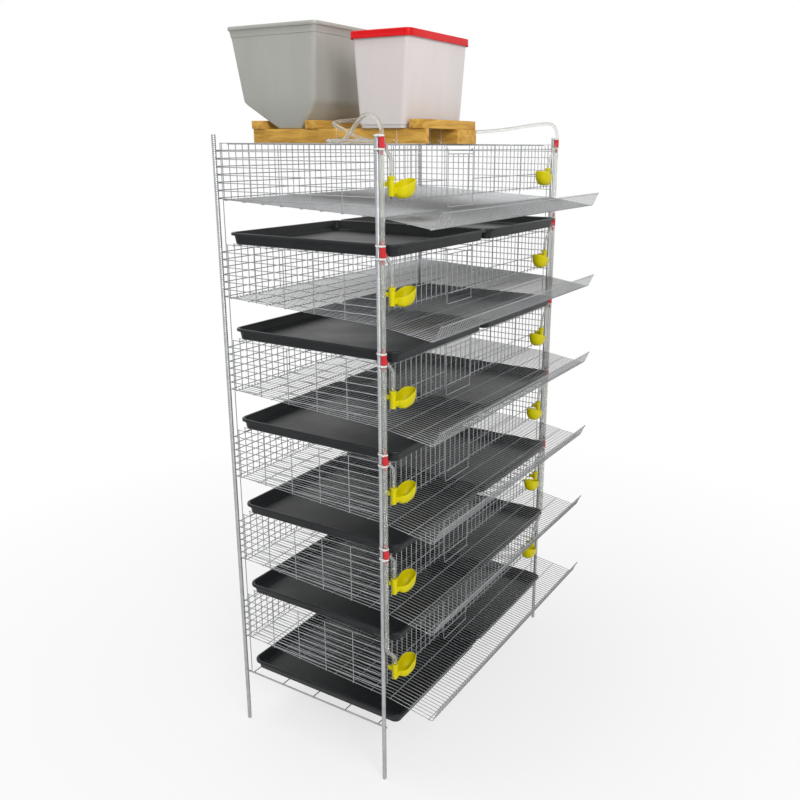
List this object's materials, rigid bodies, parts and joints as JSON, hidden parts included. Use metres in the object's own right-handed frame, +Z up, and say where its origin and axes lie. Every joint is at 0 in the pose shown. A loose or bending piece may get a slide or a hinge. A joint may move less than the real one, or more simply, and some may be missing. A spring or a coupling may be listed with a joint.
{
  "type": "quail cage",
  "caption": "Tall multi-tier wire quail cage on threaded posts, with sloping egg floors, black droppings trays, yellow piped drinker cups and two supply bins on top.",
  "frame": {"origin": "on the floor under the middle of the overall box", "axes": "+Z up; the egg shelves and tray fronts face -Y; +X to the right seen from the front"},
  "size_m": [1.0234, 0.8067, 2.0334],
  "materials": {
    "zinc_wire": "satin galvanised",
    "zinc_rod": "bright zinc",
    "black_plastic": "gloss",
    "yellow_plastic": "gloss",
    "red_plastic": "gloss",
    "clear_hose": "gloss, see-through",
    "white_nylon": "satin",
    "dark_rubber": "matt",
    "pine": "sawn",
    "grey_plastic": "satin",
    "white_plastic": "satin, slightly see-through",
    "red_lid_plastic": "satin"
  },
  "bodies": {
    "frame": {"egg_floor_1": "zinc_wire", "side_panels_1": "zinc_wire", "roof_grid_1": "zinc_wire", "front_grille_1": "zinc_wire", "egg_floor_2": "zinc_wire", "side_panels_2": "zinc_wire", "roof_grid_2": "zinc_wire", "front_grille_2": "zinc_wire", "egg_floor_3": "zinc_wire", "side_panels_3": "zinc_wire", "roof_grid_3": "zinc_wire", "front_grille_3": "zinc_wire", "egg_floor_4": "zinc_wire", "side_panels_4": "zinc_wire", "roof_grid_4": "zinc_wire", "front_grille_4": "zinc_wire", "egg_floor_5": "zinc_wire", "side_panels_5": "zinc_wire", "roof_grid_5": "zinc_wire", "front_grille_5": "zinc_wire", "egg_floor_6": "zinc_wire", "side_panels_6": "zinc_wire", "roof_grid_6": "zinc_wire", "front_grille_6": "zinc_wire", "front_posts": "zinc_rod", "back_posts": "zinc_rod", "side_uprights": "zinc_wire", "tray_rack": "zinc_wire", "riser_hoses": "clear_hose", "y_connectors": "red_plastic", "drop_tubes": "clear_hose", "drinker_cups": "yellow_plastic", "cup_valves": "dark_rubber", "cable_ties": "white_nylon", "base_beams": "pine", "base_slats": "pine", "feed_bin": "grey_plastic", "water_bin": "white_plastic", "bin_outlets": "dark_rubber", "supply_hose_left": "clear_hose", "supply_hose_right": "clear_hose"},
    "door_1": {"door_1": "zinc_wire"},
    "tray_left_1": {"tray_left_1": "black_plastic"},
    "tray_right_1": {"tray_right_1": "black_plastic"},
    "door_2": {"door_2": "zinc_wire"},
    "tray_left_2": {"tray_left_2": "black_plastic"},
    "tray_right_2": {"tray_right_2": "black_plastic"},
    "door_3": {"door_3": "zinc_wire"},
    "tray_left_3": {"tray_left_3": "black_plastic"},
    "tray_right_3": {"tray_right_3": "black_plastic"},
    "door_4": {"door_4": "zinc_wire"},
    "tray_left_4": {"tray_left_4": "black_plastic"},
    "tray_right_4": {"tray_right_4": "black_plastic"},
    "door_5": {"door_5": "zinc_wire"},
    "tray_left_5": {"tray_left_5": "black_plastic"},
    "tray_right_5": {"tray_right_5": "black_plastic"},
    "door_6": {"door_6": "zinc_wire"},
    "tray_left_6": {"tray_left_6": "black_plastic"},
    "tray_right_6": {"tray_right_6": "black_plastic"},
    "water_bin_lid": {"water_bin_lid": "red_lid_plastic"}
  },
  "joints": [
    {"name": "door_hinge_1", "type": "hinge", "parent": "frame", "child": "door_1", "pos_m": [-0.1, -0.2264, 0.414], "axis": [-1, 0, 0], "range_deg": [0, 88]},
    {"name": "tray_slide_left_1", "type": "slide", "parent": "frame", "child": "tray_left_1", "axis": [0, -1, 0], "range_m": [0, 0.48]},
    {"name": "tray_slide_right_1", "type": "slide", "parent": "frame", "child": "tray_right_1", "axis": [0, -1, 0], "range_m": [0, 0.48]},
    {"name": "door_hinge_2", "type": "hinge", "parent": "frame", "child": "door_2", "pos_m": [-0.1, -0.2264, 0.674], "axis": [-1, 0, 0], "range_deg": [0, 88]},
    {"name": "tray_slide_left_2", "type": "slide", "parent": "frame", "child": "tray_left_2", "axis": [0, -1, 0], "range_m": [0, 0.48]},
    {"name": "tray_slide_right_2", "type": "slide", "parent": "frame", "child": "tray_right_2", "axis": [0, -1, 0], "range_m": [0, 0.48]},
    {"name": "door_hinge_3", "type": "hinge", "parent": "frame", "child": "door_3", "pos_m": [-0.1, -0.2264, 0.934], "axis": [-1, 0, 0], "range_deg": [0, 88]},
    {"name": "tray_slide_left_3", "type": "slide", "parent": "frame", "child": "tray_left_3", "axis": [0, -1, 0], "range_m": [0, 0.48]},
    {"name": "tray_slide_right_3", "type": "slide", "parent": "frame", "child": "tray_right_3", "axis": [0, -1, 0], "range_m": [0, 0.48]},
    {"name": "door_hinge_4", "type": "hinge", "parent": "frame", "child": "door_4", "pos_m": [-0.1, -0.2264, 1.194], "axis": [-1, 0, 0], "range_deg": [0, 88]},
    {"name": "tray_slide_left_4", "type": "slide", "parent": "frame", "child": "tray_left_4", "axis": [0, -1, 0], "range_m": [0, 0.48]},
    {"name": "tray_slide_right_4", "type": "slide", "parent": "frame", "child": "tray_right_4", "axis": [0, -1, 0], "range_m": [0, 0.48]},
    {"name": "door_hinge_5", "type": "hinge", "parent": "frame", "child": "door_5", "pos_m": [-0.1, -0.2264, 1.454], "axis": [-1, 0, 0], "range_deg": [0, 88]},
    {"name": "tray_slide_left_5", "type": "slide", "parent": "frame", "child": "tray_left_5", "axis": [0, -1, 0], "range_m": [0, 0.48]},
    {"name": "tray_slide_right_5", "type": "slide", "parent": "frame", "child": "tray_right_5", "axis": [0, -1, 0], "range_m": [0, 0.48]},
    {"name": "door_hinge_6", "type": "hinge", "parent": "frame", "child": "door_6", "pos_m": [-0.1, -0.2264, 1.714], "axis": [-1, 0, 0], "range_deg": [0, 88]},
    {"name": "tray_slide_left_6", "type": "slide", "parent": "frame", "child": "tray_left_6", "axis": [0, -1, 0], "range_m": [0, 0.48]},
    {"name": "tray_slide_right_6", "type": "slide", "parent": "frame", "child": "tray_right_6", "axis": [0, -1, 0], "range_m": [0, 0.48]},
    {"name": "lid_lift", "type": "slide", "parent": "frame", "child": "water_bin_lid", "axis": [0, 0, 1], "range_m": [0, 0.1]}
  ]
}
